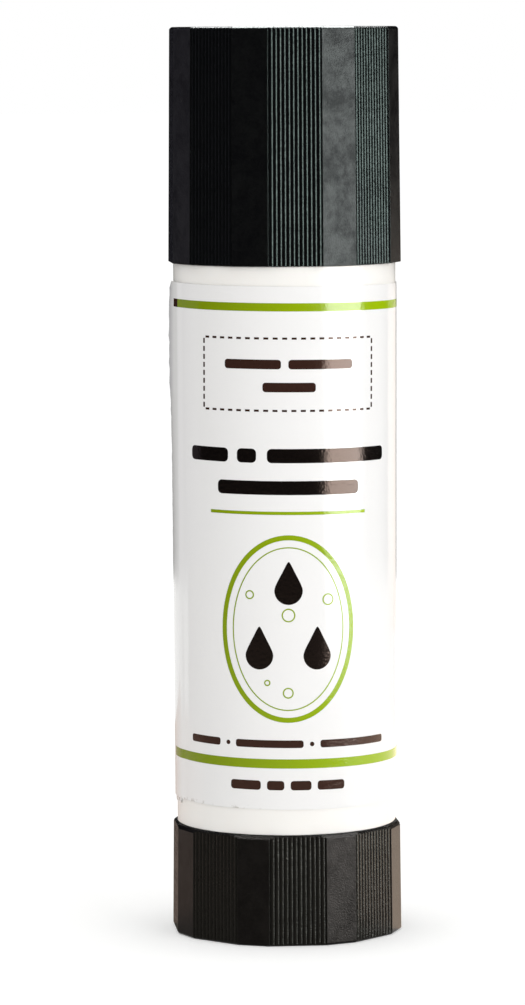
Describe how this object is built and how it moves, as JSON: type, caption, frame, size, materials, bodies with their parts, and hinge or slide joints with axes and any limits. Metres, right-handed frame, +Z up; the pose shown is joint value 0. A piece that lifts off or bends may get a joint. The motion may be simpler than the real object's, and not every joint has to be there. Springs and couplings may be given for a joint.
{
  "type": "twist-up stain remover stick",
  "caption": "Twist-up stain remover stick in a round labelled tube with a faceted push-on cap; turning the faceted knob at its foot winds the solid stick out.",
  "frame": {"origin": "centre of the knob's foot, on the surface that the object stands on", "axes": "+Z up along the tube's axis, from the knob to the cap; -Y is the printed front of the label, +X to its right"},
  "size_m": [0.0256, 0.0256, 0.1],
  "materials": {
    "cap_black": "black moulded polypropylene, satin with a fine grain",
    "knob_black": "black moulded polypropylene, satin with a fine grain",
    "barrel_white": "white moulded polypropylene, semi-gloss",
    "label_film": "white film, printed and glossy",
    "stick_solid": "off-white cast soap-like solid, waxy",
    "carrier_natural": "natural polyethylene",
    "spindle_white": "white moulded polypropylene",
    "plug_natural": "natural polyethylene, translucent",
    "seal_rubber": "black moulded rubber"
  },
  "bodies": {
    "barrel": {"barrel": "barrel_white", "label": "label_film"},
    "knob": {"twist_knob": "knob_black", "spindle": "spindle_white", "spindle_seal_ring": "seal_rubber"},
    "carrier": {"carrier": "carrier_natural", "stain_remover_stick": "stick_solid"},
    "cap": {"cap_shell": "cap_black", "cap_seal_plug": "plug_natural"}
  },
  "joints": [
    {"name": "knob_turn", "type": "hinge", "parent": "barrel", "child": "knob", "pos_m": [0, 0, 0], "axis": [0, 0, 1], "range_deg": [0, 4320]},
    {"name": "carrier_slide", "type": "slide", "parent": "barrel", "child": "carrier", "axis": [0, 0, 1], "range_m": [0, 0.066]},
    {"name": "cap_pull", "type": "slide", "parent": "carrier", "child": "cap", "axis": [0, 0, 1], "range_m": [0, 0.045]}
  ],
  "couplings": [
    {"joint": "carrier_slide", "follows": "knob_turn", "m_per_rad": 0.00087535}
  ]
}
